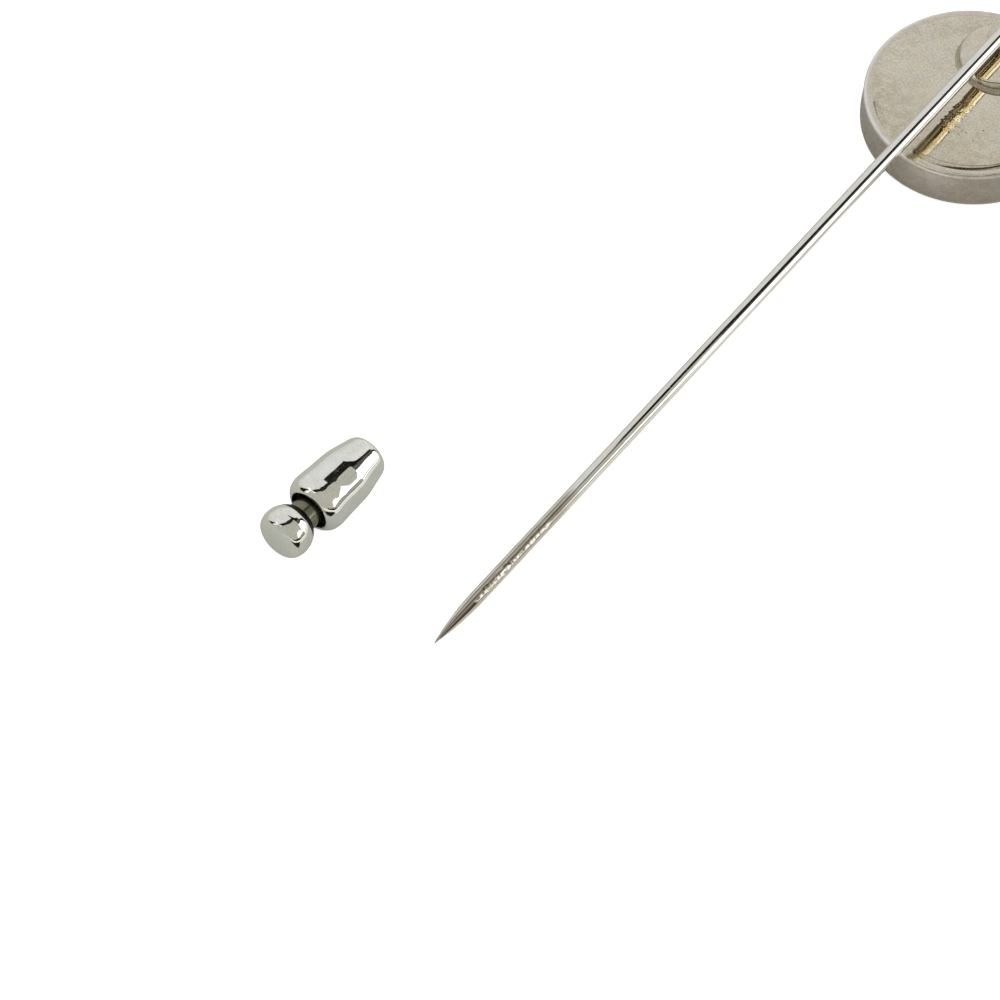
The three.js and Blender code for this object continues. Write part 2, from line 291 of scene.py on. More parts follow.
class Shader:
    """Adds nodes to a tree in few words. A number or a socket can be given for any input."""

    def __init__(self, tree):
        self.tree = tree
        self.tree.nodes.clear()

    def node(self, kind, inputs=(), **settings):
        made = self.tree.nodes.new(kind)
        for key, value in settings.items():
            setattr(made, key, value)
        for key, value in dict(inputs).items():
            socket = made.inputs[key]
            if isinstance(value, bpy.types.NodeSocket):
                self.tree.links.new(value, socket)
            else:
                socket.default_value = value
        return made

    def math(self, operation, *values):
        return self.node("ShaderNodeMath", dict(enumerate(values)), operation=operation).outputs[0]

    def rise(self, value, low, high, to_low=0.0, to_high=1.0):
        """Eases from to_low at low to to_high at high."""
        made = self.node("ShaderNodeMapRange", {0: value, 1: low, 2: high, 3: to_low, 4: to_high},
                         interpolation_type="SMOOTHSTEP")
        return made.outputs[0]

    def ramp(self, value, low, high):
        """A straight ramp from 0 at low to 1 at high."""
        return self.node("ShaderNodeMapRange", {0: value, 1: low, 2: high}).outputs[0]

    def span(self, value, start, full, fade, end):
        """A band: rises from start to full, and falls again from fade to end."""
        return self.math("MULTIPLY", self.rise(value, start, full), self.rise(value, fade, end, 1.0, 0.0))

    def mix(self, factor, a, b, blend="MIX"):
        made = self.tree.nodes.new("ShaderNodeMix")
        made.data_type = "RGBA"
        made.blend_type = blend
        for socket, value in ((made.inputs[0], factor), (made.inputs[6], a), (made.inputs[7], b)):
            if isinstance(value, bpy.types.NodeSocket):
                self.tree.links.new(value, socket)
            elif isinstance(value, tuple):
                socket.default_value = (*value, 1.0)
            else:
                socket.default_value = value
        return made.outputs[2]

    def millimetres(self):
        """The place on the object, in millimetres."""
        place = self.node("ShaderNodeTexCoord").outputs["Object"]
        return self.node("ShaderNodeVectorMath", {0: place, "Scale": 1000.0}, operation="SCALE").outputs[0]

    def parts(self, vector):
        return self.node("ShaderNodeSeparateXYZ", {0: vector}).outputs

    def from_centre(self, split):
        """Distance from the head's axis."""
        return self.math("SQRT", self.math("ADD", self.math("MULTIPLY", split[0], split[0]),
                                           self.math("MULTIPLY", split[1], split[1])))

    def curve(self, value, points):
        """A smooth curve through (input, output) points, all from 0 to 1."""
        made = self.node("ShaderNodeFloatCurve", {1: value})
        line = made.mapping.curves[0]
        while len(line.points) < len(points):
            line.points.new(0.5, 0.5)
        for point, (x, y) in zip(line.points, points):
            point.location = (x, y)
        made.mapping.update()
        return made.outputs[0]

    def noise(self, vector, scale, detail=2.0, roughness=0.5):
        return self.node("ShaderNodeTexNoise", {
            "Vector": vector, "Scale": scale, "Detail": detail, "Roughness": roughness,
        }).outputs[0]

    def stretched(self, vector, scale, turn=(0.0, 0.0, 0.0)):
        made = self.node("ShaderNodeMapping", {"Vector": vector, "Rotation": turn, "Scale": scale})
        return made.outputs[0]

    def bump(self, height, distance, normal=None):
        inputs = {"Height": height, "Distance": distance, "Strength": 1.0}
        if normal is not None:
            inputs["Normal"] = normal
        return self.node("ShaderNodeBump", inputs).outputs[0]


def scratches(s, mm, density):
    """Fine straight lines in three directions, as a mask from 0 to 1."""
    first_turn, along, athwart = 0.3, 0.35, 10.0
    total = None
    for k in range(3):
        turn = (0.5 * k + first_turn, 0.7 * k, first_turn + 1.05 * k)
        lines = s.noise(s.stretched(mm, (along, athwart, athwart), turn), 1.0, 1.0)
        mask = s.rise(lines, density, density + 0.03)
        total = mask if total is None else s.math("MAXIMUM", total, mask)
    return total


def metal(name, colour, roughness, mottle=0.05, mottle_scale=1.2, speckle=0.03, grain=0.0,
          grain_scale=9.0, scratch=0.73, scratch_depth=0.0, tarnish_and_shade=(0.25, 0.2, 0.12),
          tarnish_and_shade_amount=0.6, corner=0.00035, unevenness=0.0, extra=None):
    """A plated metal: mottled, speckled, grained and scratched, tarnished and darkened with painted shade in
    corners, and worn at edges.
    """
    material = bpy.data.materials.new(name)
    material.use_nodes = True
    s = Shader(material.node_tree)
    mm = s.millimetres()
    # uneven plating: clouds, dots and a drift between a warmer and a cooler tint
    clouds = s.noise(mm, mottle_scale, 5.0, 0.6)
    dots = s.noise(mm, 6.5, 3.0, 0.7)
    lines = scratches(s, mm, scratch)
    shade = s.math("ADD", s.rise(clouds, 0.3, 0.7, 1.0 - mottle, 1.0 + mottle),
                   s.rise(dots, 0.3, 0.7, -speckle, speckle))
    warm = s.noise(mm, mottle_scale * 0.6, 2.0)
    tint = s.mix(s.rise(warm, 0.35, 0.65), tuple(c * f for c, f in zip(colour, (1.0, 0.985, 0.95))),
                 tuple(c * f for c, f in zip(colour, (1.0, 1.01, 1.03))))
    base = s.mix(1.0, tint, s.node("ShaderNodeCombineColor", {0: shade, 1: shade, 2: shade}).outputs[0],
                 "MULTIPLY")
    # tarnish and painted shade in the corners that ambient occlusion finds, where the metal isn't rubbed,
    # and bare metal on the edges that are
    occlusion = s.node("ShaderNodeAmbientOcclusion", {"Distance": corner}, samples=8).outputs["AO"]
    corner_tarnish_and_shade = s.math("MULTIPLY", s.rise(occlusion, 0.35, 0.8, 1.0, 0.0), tarnish_and_shade_amount)
    base = s.mix(corner_tarnish_and_shade, base, tarnish_and_shade)
    edge = s.rise(s.node("ShaderNodeNewGeometry").outputs["Pointiness"], 0.53, 0.6)
    base = s.mix(s.math("MULTIPLY", edge, 0.35), base, tuple(min(1.0, c * 1.12) for c in colour))
    rough = s.math("ADD", s.rise(clouds, 0.3, 0.7, roughness * 0.8, roughness * 1.25),
                   s.math("MULTIPLY", lines, 0.12))
    rough = s.math("ADD", rough, s.math("MULTIPLY", corner_tarnish_and_shade, 0.25))
    # relief, from broad to fine
    normal = None
    if unevenness:
        normal = s.bump(s.noise(mm, 0.8, 2.0), unevenness * MM, normal)
    if grain:
        normal = s.bump(s.noise(mm, grain_scale, 3.0, 0.6), grain * MM, normal)
    if scratch_depth:
        normal = s.bump(s.math("MULTIPLY", lines, -1.0), scratch_depth * MM, normal)
    if extra:
        base, rough, normal = extra(s, mm, base, rough, normal)
    inputs = {"Base Color": base, "Metallic": 1.0, "Roughness": rough}
    if normal is not None:
        inputs["Normal"] = normal
    shader = s.node("ShaderNodeBsdfPrincipled", inputs)
    s.node("ShaderNodeOutputMaterial", {0: shader.outputs[0]})
    return material


def front_finish(s, mm, base, rough, normal):
    """Turned lines on the flat front, lines drawn round the side wall, a painted highlight along the rim
    that is brightest on its left, and painted shade on the side wall.
    """
    split = s.parts(mm)
    radius = s.from_centre(split)
    # painted highlight: the rim's outer edge is lightened, most on its left, where it catches the light
    rim_highlight = s.math("MULTIPLY", s.rise(split[2], 2.98, 3.16), s.rise(radius, 7.95, 8.15))
    to_left = s.math("ADD", s.math("MULTIPLY", split[0], -0.9), s.math("MULTIPLY", split[1], -0.45))
    rim_highlight = s.math("MULTIPLY", rim_highlight, s.rise(to_left, 1.5, 5.5, 0.12, 1.0))
    patchiness = s.rise(s.noise(mm, 0.9, 3.0), 0.3, 0.6, 0.5, 1.0)
    base = s.mix(s.math("MULTIPLY", rim_highlight, patchiness), base, (0.80, 0.775, 0.735))
    # painted shade: the wall is darkened, standing in for the shadowed table that it mirrors
    is_wall = s.span(split[2], 0.2, 0.6, 2.95, 3.2)
    darker = s.mix(1.0, base, (0.74, 0.70, 0.73), "MULTIPLY")
    base = s.mix(s.math("MULTIPLY", is_wall, 0.85), base, darker)
    # the turned lines follow the radius, and the drawn lines follow the height
    is_front = s.rise(split[2], 0.05, 0.4, 1.0, 0.0)
    ring_place = s.node("ShaderNodeCombineXYZ", {0: s.math("MULTIPLY", radius, 22.0), 1: split[2], 2: 0.0})
    rings = s.noise(ring_place.outputs[0], 1.0, 3.0, 0.7)
    wall_place = s.node("ShaderNodeCombineXYZ", {0: s.math("MULTIPLY", split[2], 16.0),
                                                 1: s.math("MULTIPLY", radius, 2.0), 2: 0.0})
    drawn = s.noise(wall_place.outputs[0], 1.0, 3.0, 0.7)
    height = s.mix(is_front, drawn, rings)
    normal = s.bump(height, 0.0016 * MM, normal)
    rough = s.math("ADD", rough, s.rise(height, 0.3, 0.7, -0.03, 0.05))
    return base, rough, normal


def plate_finish(s, mm, base, rough, normal):
    """A patch in front of the pad that mirrors less evenly, a rougher edge, and stain toward -Y."""
    split = s.parts(mm)
    patch = s.math("MULTIPLY", s.span(split[1], -4.6, -3.6, -1.4, -0.6),
                   s.span(split[0], -1.6, -0.4, 2.6, 3.8))
    dimples = s.noise(mm, 1.9, 2.0, 0.5)
    normal = s.bump(s.math("MULTIPLY", dimples, patch), 0.042 * MM, normal)
    radius = s.from_centre(split)
    rough = s.math("ADD", rough, s.rise(radius, 5.0, 6.2, 0.0, 0.09))
    stained = s.math("MULTIPLY", s.rise(s.noise(mm, 1.3, 4.0, 0.65), 0.42, 0.62),
                     s.rise(split[1], -1.6, -3.4))
    base = s.mix(s.math("MULTIPLY", stained, 0.35), base, (0.46, 0.39, 0.27))
    warmer = s.mix(1.0, base, (0.80, 0.77, 0.68), "MULTIPLY")
    base = s.mix(s.rise(split[1], 1.0, -7.0, 0.0, 0.3), base, warmer)
    return base, rough, normal


def wire_finish(s, mm, base, rough, normal):
    """Drawn lines along the wire, and worn, browner metal where the clutch has gripped it."""
    split = s.parts(mm)
    drawn = s.noise(s.stretched(mm, (14.0, 0.12, 14.0)), 1.0, 2.0)
    normal = s.bump(drawn, 0.0007 * MM, normal)
    # the last stretch is brown and worn, most of all in two bands along it
    worn_place = s.math("ADD", split[1], s.math("MULTIPLY", s.noise(mm, 0.5, 3.0), 8.0))
    worn = s.rise(worn_place, -50.0, -44.0, 1.0, 0.0)
    patchiness = s.noise(s.stretched(mm, (5.0, 0.6, 5.0)), 1.0, 4.0, 0.7)
    high = s.math("ADD", split[2], -WIRE_Z)
    turn = s.math("ARCTAN2", s.math("ADD", split[0], -WIRE_X), high)
    gripped = s.span(turn, -0.32, -0.16, 0.74, 0.84)
    lower = s.span(turn, 0.76, 0.86, 1.2, 1.34)
    brown = s.mix(s.rise(patchiness, 0.35, 0.7), (0.60, 0.55, 0.48), (0.78, 0.75, 0.70))
    base = s.mix(s.math("MULTIPLY", worn, 0.75), base, brown)
    dirty = s.math("MULTIPLY", worn, s.math("MAXIMUM", gripped, s.math("MULTIPLY", lower, 0.75)))
    base = s.mix(s.math("MULTIPLY", dirty, s.rise(patchiness, 0.3, 0.6, 0.6, 0.95)), base, (0.42, 0.375, 0.31))
    rough = s.math("ADD", rough, s.math("MULTIPLY", worn, s.rise(patchiness, 0.35, 0.7, 0.03, 0.09)))
    # bright chips of bared metal between the bands, where the balls have bitten, painted near-white as
    # glints
    edge = s.span(turn, 0.5, 0.54, 0.78, 0.86)
    stretch = s.span(split[1], -62.9, -62.5, -54.5, -52.5)
    chips_and_glints = s.rise(s.noise(s.stretched(mm, (1.6, 3.4, 1.6)), 1.0, 2.0, 0.6), 0.47, 0.51)
    bright = s.math("MULTIPLY", chips_and_glints, s.math("MULTIPLY", edge, stretch))
    base = s.mix(bright, base, (0.98, 0.97, 0.93))
    rough = s.math("ADD", rough, s.math("MULTIPLY", bright, 0.25))
    # painted shade: a near-black line along the ground point where a crease would lie in shadow, and a dark
    # brink along the upper band
    crease_shade = s.math("MULTIPLY", s.span(turn, 0.56, 0.64, 0.92, 1.02),
                    s.span(split[1], -66.6, -66.2, -62.6, -62.0))
    base = s.mix(s.math("MULTIPLY", crease_shade, 0.95), base, (0.03, 0.02, 0.017))
    brink = s.span(turn, -0.34, -0.26, -0.18, -0.1)
    base = s.mix(s.math("MULTIPLY", brink, s.math("MULTIPLY", worn, 0.7)), base, (0.14, 0.12, 0.09))
    # painted reflection: over the head the underside is painted dark on its left and gold on its right,
    # which the plate mirrors in place of warm light bounced between wire and plate
    under = s.math("MULTIPLY", s.rise(high, -0.3, -0.08, 1.0, 0.0), s.rise(split[1], -9.6, -8.2))
    painted_gold_reflection = s.mix(s.rise(split[0], WIRE_X - 0.16, WIRE_X + 0.06), (0.08, 0.06, 0.022), (0.90, 0.80, 0.53))
    base = s.mix(s.math("MULTIPLY", under, 0.9), base, painted_gold_reflection)
    return base, rough, normal


MATERIALS = {
    "satin_nickel": metal("satin_nickel", (0.655, 0.605, 0.525), 0.24, mottle=0.06, speckle=0.12,
                          grain=0.0016, scratch=0.74, scratch_depth=0.001, tarnish_and_shade_amount=0.35,
                          extra=front_finish),
    "polished_plate": metal("polished_plate", (0.66, 0.612, 0.52), 0.05, mottle=0.055, mottle_scale=0.7,
                            speckle=0.2, grain=0.0005, grain_scale=7.0, scratch=0.9,
                            scratch_depth=0.00015, unevenness=0.006, tarnish_and_shade=(0.30, 0.24, 0.15),
                            extra=plate_finish),
    "pad_nickel": metal("pad_nickel", (0.655, 0.607, 0.515), 0.055, mottle=0.06, speckle=0.14,
                        grain=0.0009, grain_scale=7.0, unevenness=0.006, scratch=0.76,
                        scratch_depth=0.0003, tarnish_and_shade_amount=0.6, corner=0.0005),
    "solder": metal("solder", (0.46, 0.41, 0.325), 0.28, mottle=0.12, mottle_scale=3.0, speckle=0.07,
                    grain=0.003, grain_scale=5.0, unevenness=0.01, tarnish_and_shade_amount=0.75, corner=0.0006),
    "silver_wire": metal("silver_wire", (0.80, 0.785, 0.76), 0.04, mottle=0.03, speckle=0.02,
                         scratch=0.75, scratch_depth=0.0006, tarnish_and_shade_amount=0.3, extra=wire_finish),
    "bright_nickel": metal("bright_nickel", (0.82, 0.82, 0.79), 0.035, mottle=0.03, mottle_scale=0.8,
                           speckle=0.06, grain=0.0003, scratch=0.76, scratch_depth=0.0004),
    # nickel for the pieces set inside the clutch, darkened as painted shade, with near-black painted shade
    # in its corners
    "dull_nickel": metal("dull_nickel", (0.21, 0.205, 0.148), 0.2, mottle=0.1, speckle=0.06, grain=0.002,
                         scratch=0.72, scratch_depth=0.001, tarnish_and_shade=(0.012, 0.011, 0.008),
                         tarnish_and_shade_amount=1.0, corner=0.0011),
    # near-black painted shade for clutch faces in shadow: the mouth and bore, the knob's back and the seat
    # inside the mouth
    "shade_black": metal("shade_black", (0.035, 0.032, 0.027), 0.42, mottle=0.2, speckle=0.1, grain=0.003,
                       tarnish_and_shade=(0.01, 0.009, 0.007)),
    "spring_steel": metal("spring_steel", (0.5, 0.5, 0.49), 0.28, mottle=0.08, mottle_scale=3.0,
                          grain=0.001),
    "brass": metal("brass", (0.72, 0.56, 0.26), 0.26, mottle=0.07, grain=0.0012, scratch=0.72,
                   scratch_depth=0.001, tarnish_and_shade=(0.2, 0.13, 0.05)),
    "ball_steel": metal("ball_steel", (0.68, 0.69, 0.69), 0.08, mottle=0.03, scratch=0.74,
                        scratch_depth=0.0005),
}

# ---- head ----

SEAT = PLATE_BOTTOM - 0.01

head_front = fillet([
    (0, 0, 0), (FRONT_FIELD, 0, 0.07), (6.47, FRONT_GROOVE_DEPTH, 0.06), (6.83, FRONT_GROOVE_DEPTH, 0.06),
    (6.95, 0, 0.09), (HEAD_RADIUS, 0, 0.45), (HEAD_RADIUS, 0.9, 2.0), (*RIM_FOOT, 0),
], 6.0)
head_rim = flowing([
    RIM_FOOT, (8.325, 3.1), (8.3, 3.24), (8.22, 3.315), (8.1, 3.343), (7.95, 3.35), RIM_CREST,
], 0.03, 0.05)
head_inside = fillet([
    (*RIM_CREST, 0), (RIM_INNER, 3.345, 0.02), (RIM_INNER, SEAT, 0.04), (CUP_INNER, SEAT, 0.04),
    (CUP_INNER, CUP_FLOOR, 0.1), (0, CUP_FLOOR, 0),
], 6.0)
head_outline = head_front + head_rim[1:-1] + head_inside
head = mesh_object("head_shell", *turned(head_outline, HEAD_SEGMENTS, upright(0, 0)), "pin")
finished(head, MATERIALS["satin_nickel"], "head_cup")


def burnished_edge(a, h, r):
    """The plate's edge is rubbed up to the rim all round, but for a stretch where a groove is left open."""
    if h < (PLATE_TOP + PLATE_BOTTOM) / 2:
        return 0.0
    open_side = share(math.cos(a - math.radians(OPEN_SIDE_DEGREES)), 0.25, 0.75)
    climb = share(r, BURNISH_START, BURNISH_START + BURNISH_WIDTH)
    groove = share(r, OPEN_GROOVE_START, OPEN_GROOVE_START + OPEN_GROOVE_WIDTH) ** 2
    raised = BURNISH_HEIGHT * climb * climb * (3 - 2 * climb)
    return raised * (1 - open_side) - OPEN_GROOVE_DEPTH * groove * open_side


# rings close enough together near the edge for burnished_edge to bend
plate_rings = [(7.5 - 0.15 * k, PLATE_TOP, 0) for k in range(17)]
plate_outline = fillet([
    (0, PLATE_BOTTOM, 0), (PLATE_RADIUS, PLATE_BOTTOM, 0.03), (PLATE_RADIUS, PLATE_TOP, 0.012),
    *plate_rings, (0, PLATE_TOP, 0),
])
plate = mesh_object("back_disc", *turned(plate_outline, HEAD_SEGMENTS, upright(0, 0), lift=burnished_edge),
                    "pin")
finished(plate, MATERIALS["polished_plate"], "back_plate")

pad = mesh_object("pin_pad_disc", *turned(fillet([
    (0, PAD_BOTTOM, 0), (PAD_RADIUS, PAD_BOTTOM, 0.03), (PAD_RADIUS, PAD_TOP, 0.42), (0, PAD_TOP, 0),
], 5.0), PAD_SEGMENTS, upright(*PAD_CENTRE)), "pin")
foot_drill = turned([(0, 0), (FOOT_HOLE, 0), (FOOT_HOLE, 9), (0, 9)], 48, upright(WIRE_X, FOOT_Y))
cut(pad, [foot_drill])
pad.data.shade_smooth()
finished(pad, MATERIALS["pad_nickel"], "pin_pad")


def solder_ring(name, inner, width, height, bottom, x, y, segments, node, heavy=0.0):
    """A fillet of solder that wets a wall: concave, uneven round its length, and heavier toward -Y."""
    steps = 12
    vertices, faces = [], []
    for k in range(segments):
        a = 2 * math.pi * k / segments
        c, s = math.cos(a), math.sin(a)
        more = 1 + heavy * max(0.0, -s + 0.35)
        spread = 0.35 * rounded_noise(c * 2.2, s * 2.2, 1) + 0.2 * rounded_noise(c * 7, s * 7, 2)
        climb = 0.25 * rounded_noise(c * 2.6, s * 2.6, 3) + 0.15 * rounded_noise(c * 8, s * 8, 4)
        wide = width * more * (1 + spread)
        tall = height * more * (1 + climb)
        profile = [(inner, 0.0)]
        for i in range(steps + 1):
            t = i / steps
            lift = 0.35 * math.sin(math.pi * t * 0.5) + 0.65 * t * t
            profile.append((inner + wide * (1 - t), tall * lift))
        for r, h in profile:
            vertices.append(upright(x, y) @ Vector((r * c, r * s, bottom + h)))
    row = steps + 2
    for k in range(segments):
        n = (k + 1) % segments
        for i in range(row):
            j = (i + 1) % row
            faces.append((k * row + i, n * row + i, n * row + j, k * row + j))
    obj = mesh_object(name, vertices, faces, "pin")
    return finished(obj, MATERIALS["solder"], node)


solder_ring("pad_solder", PAD_RADIUS + 0.01, 0.12, 0.13, PAD_BOTTOM, *PAD_CENTRE, 320, "pad_braze", 1.3)
solder_ring("wire_solder", WIRE_RADIUS + 0.02, 0.24, 0.11, COLLAR_TOP + 0.01, WIRE_X, FOOT_Y,
            SMALL_SEGMENTS, "stem_braze")

collar = mesh_object("wire_collar", *turned(fillet([
    (FOOT_HOLE, 4.2, 0), (FOOT_HOLE, COLLAR_BOTTOM, 0.02), (COLLAR_RADIUS, COLLAR_BOTTOM, 0.03),
    (COLLAR_RADIUS, COLLAR_TOP, 0.13), (FOOT_HOLE, COLLAR_TOP, 0.05), (FOOT_HOLE, 4.2, 0),
], 8.0)[:-1], SMALL_SEGMENTS, upright(WIRE_X, FOOT_Y), closed=True), "pin")
finished(collar, MATERIALS["pad_nickel"], "pin_collar")


# ---- wire ----

def wire_path():
    """Centres, tangents and radii along the wire, from the point to the foot in the pad."""
    rows = []
    for along in np.r_[np.linspace(0, 1, 26)[:-1] ** 2 * 2.0, np.arange(2.0, 16.0, 0.055),
                       np.arange(16.0, FOOT_Y - BEND_RADIUS - WIRE_TIP_Y, 0.9)]:
        swell = math.sin(share(along, 0.0, POINT_LENGTH) * math.pi / 2) ** 0.85
        radius = POINT_END_RADIUS + (WIRE_RADIUS - POINT_END_RADIUS) * swell
        rows.append((WIRE_TIP_Y + along, WIRE_Z, 1.0, 0.0, radius))
    for k in range(25):
        a = math.pi / 2 * k / 24
        c, s = math.cos(a), math.sin(a)
        rows.append((FOOT_Y - BEND_RADIUS + BEND_RADIUS * s, WIRE_Z - BEND_RADIUS + BEND_RADIUS * c,
                     c, -s, WIRE_RADIUS))
    for z in np.linspace(WIRE_Z - BEND_RADIUS - 0.1, PAD_BOTTOM + 0.03, 10):
        rows.append((FOOT_Y, z, 0.0, -1.0, WIRE_RADIUS))
    return rows


def wire_nicks():
    """Small crosswise dents where the clutch's balls have bitten, thickest on the upper right side."""
    draw = random.Random(SEED)
    nicks = []
    for group, turn, count in ((0, 54.0, 30), (1, 174.0, 14), (2, 294.0, 14)):
        for _ in range(count):
            at = draw.triangular(*BITTEN, -59.5)
            swing = math.radians(turn + draw.uniform(-13, 13))
            depth, half_length = draw.uniform(0.01, 0.028), draw.uniform(0.05, 0.12)
            nicks.append((at, swing, depth, half_length, math.radians(draw.uniform(9, 20))))
    return nicks


def wire_mesh():
    nicks = wire_nicks()
    vertices, faces = [], []
    rows = wire_path()
    for y, z, ty, tz, radius in rows:
        for k in range(WIRE_SIDES):
            a = 2 * math.pi * k / WIRE_SIDES
            side, lift = math.cos(a), math.sin(a)
            r = radius * (1 + 0.004 * rounded_noise(side, lift, y * 0.35))
            if BITTEN[0] - 1 < y < BITTEN[1] + 1:
                for at, turn, depth, half_length, half_turn in nicks:
                    off = (y - at) / half_length
                    if abs(off) > 3:
                        continue
                    swing = math.remainder(a - turn, 2 * math.pi) / half_turn
                    spread = off * off + swing * swing
                    r -= depth * (math.exp(-spread) - 0.35 * math.exp(-(math.sqrt(spread) - 1.7) ** 2 * 4))
            # across the wire: +X, and the direction square to it and to the wire
            vertices.append(Vector((WIRE_X + r * side, y - tz * r * lift, z + ty * r * lift)) * MM)
    sides = WIRE_SIDES
    for i in range(len(rows) - 1):
        for k in range(sides):
            n = (k + 1) % sides
            faces.append((i * sides + k, (i + 1) * sides + k, (i + 1) * sides + n, i * sides + n))
    for first, flip in ((0, False), ((len(rows) - 1) * sides, True)):
        y, z = rows[0][:2] if not flip else rows[-1][:2]
        pole = len(vertices)
        vertices.append(Vector((WIRE_X, y, z)) * MM)
        for k in range(sides):
            n = (k + 1) % sides
            faces.append((pole, first + n, first + k) if flip else (pole, first + k, first + n))
    return vertices, faces


wire = mesh_object("pin_wire", *wire_mesh(), "pin")
finished(wire, MATERIALS["silver_wire"], "pin_stem")

# ---- clutch ----

AXIS = -Vector(JOINTS["knob_pull"]["axis"]).normalized()
UP = Vector((0, 0, 1))
ACROSS = AXIS.cross(UP).normalized()


def clutch_frame():
    """A frame with its axis along the clutch and its origin at the knob's flat end."""
    points = np.array([v.co for v in NODES["clutch_knob"].data.vertices])
    side, along = points @ np.array(ACROSS), points @ np.array(AXIS)
    middle_side = (side.min() + side.max()) / 2
    middle_up = (points[:, 2].min() + points[:, 2].max()) / 2
    origin = ACROSS * middle_side + AXIS * along.min() + UP * middle_up
    turn = Matrix((ACROSS, UP, AXIS)).transposed().to_4x4()
    return Matrix.Translation(origin) @ turn @ Matrix.Scale(MM, 4)


CLUTCH = clutch_frame()


def paint_shade_faces(obj, chosen):
    """Gives the faces of a clutch piece that lie in shadow a near-black second material, as painted shade.

    chosen takes a face's distance from the axis, its place along it, and how far it faces the barrel.
    """
    obj.data.materials.append(MATERIALS["shade_black"])
    to_clutch = CLUTCH.inverted()
    for face in obj.data.polygons:
        middle = to_clutch @ face.center
        facing = (to_clutch.to_3x3() @ face.normal).normalized()
        if chosen(math.hypot(middle.x, middle.y), middle.z, facing.z):
            face.material_index = 1


def barrel_wobble(a, h, r):
    """The thin drawn shell isn't quite round, which shows in its reflections."""
    if r < BORE_RADIUS + 0.02:
        return 0.0
    return 0.008 * share(h, 4.1, 4.9) * rounded_noise(math.cos(a) * 1.4, math.sin(a) * 1.4, h * 0.55)


barrel_outside = flowing([
    (1.86, 3.77), (2.04, 3.92), (2.2, 4.1), (2.33, 4.34), (2.39, 4.62), (2.41, 4.95), (2.385, 5.5),
    (2.335, 6.2), (2.3, 7.0), (2.27, 7.65), (2.215, 8.15), (2.13, 8.6), (2.02, 9.1), (1.91, 9.6),
    (1.8, 10.08), (1.68, 10.36), (1.52, 10.54), (1.34, 10.63),
], 0.07)
barrel_inside = fillet([
    (1.2, 10.2, 0), (1.2, 9.36, 0.03), (1.62, 9.36, 0.05), (BORE_RADIUS, 7.9, 0.1),
    (BORE_RADIUS, 4.08, 0.08), (1.6, 3.98, 0.05), (1.6, 3.78, 0.06), (1.66, 3.7, 0.04),
    (1.74, 3.7, 0.04), (1.86, 3.77, 0),
])
barrel_end = fillet([(1.34, 10.63, 0), (1.2, 10.645, 0.03), (1.2, 10.2, 0)])
barrel_outline = barrel_inside[:-1] + barrel_outside + barrel_end[1:-1]
barrel = mesh_object("barrel_shell", *turned(barrel_outline, CLUTCH_SEGMENTS, CLUTCH, closed=True,
                                             wobble=barrel_wobble), "clutch_body")
finished(barrel, MATERIALS["bright_nickel"], "clutch_barrel")


def in_barrel(across, at, _facing):
    in_mouth = across < 1.64 and at < 8
    in_bore = across < BORE_RADIUS + 0.01 and 3.9 < at < 9.2
    return in_mouth or in_bore


# painted shade: the barrel's mouth and bore are made near-black
paint_shade_faces(barrel, in_barrel)


def ring(name, corners, body, material, node, segments=CAGE_SEGMENTS):
    """A turned ring from a closed outline of (radius, place, fillet radius) corners."""
    outline = fillet([*corners, corners[0]], 10.0, 0.03)[:-1]
    obj = mesh_object(name, *turned(outline, segments, CLUTCH, closed=True), body)
    return finished(obj, MATERIALS[material], node)


ring("entry_guide", [
    (0.78, 9.6, 0), (0.78, 9.12, 0.03), (1.55, 9.12, 0.03), (1.55, 9.35, 0.03), (1.19, 9.35, 0.02),
    (1.19, 10.645, 0.04), (1.0, 10.645, 0.05), (0.78, 10.25, 0.1),
], "clutch_body", "dull_nickel", "entry_bush")
ring("cone_bush", [
    (1.5, 7.3, 0), (1.729, 6.25, 0.03), (1.94, 6.25, 0.03), (1.94, 7.9, 0.05), (1.669, 9.1, 0.03),
    (1.123, 9.1, 0.03),
], "clutch_body", "spring_steel", "wedge_cone")
# the seat inside the mouth is painted near-black as shade
ring("spring_seat", [
    (1.32, 4.3, 0), (1.32, 4.1, 0.03), (1.94, 4.1, 0.03), (1.94, 4.5, 0.03), (1.32, 4.5, 0.03),
], "clutch_body", "shade_black", "retaining_collar")
ring("cage_washer", [
    (1.01, 6.7, 0), (1.01, 6.6, 0.02), (1.46, 6.6, 0.03), (1.46, 6.8, 0.03), (1.01, 6.8, 0.02),
], "clutch_plunger", "brass", "spring_washer")
ring("neck_tube", [
    (1.01, 3.0, 0), (1.01, 1.62, 0.02), (1.22, 1.62, 0.02), (1.22, 4.46, 0.07), (1.01, 4.46, 0.03),
], "clutch_plunger", "dull_nickel", "neck_sleeve", CLUTCH_SEGMENTS)


def ball_angle(index):
    """Turn of a ball's window about the axis, in the clutch frame's own X and Y."""
    low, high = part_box(f"locking_ball_{index}")
    centre = CLUTCH.inverted() @ ((low + high) / 2)
    return math.atan2(centre.y, centre.x), centre


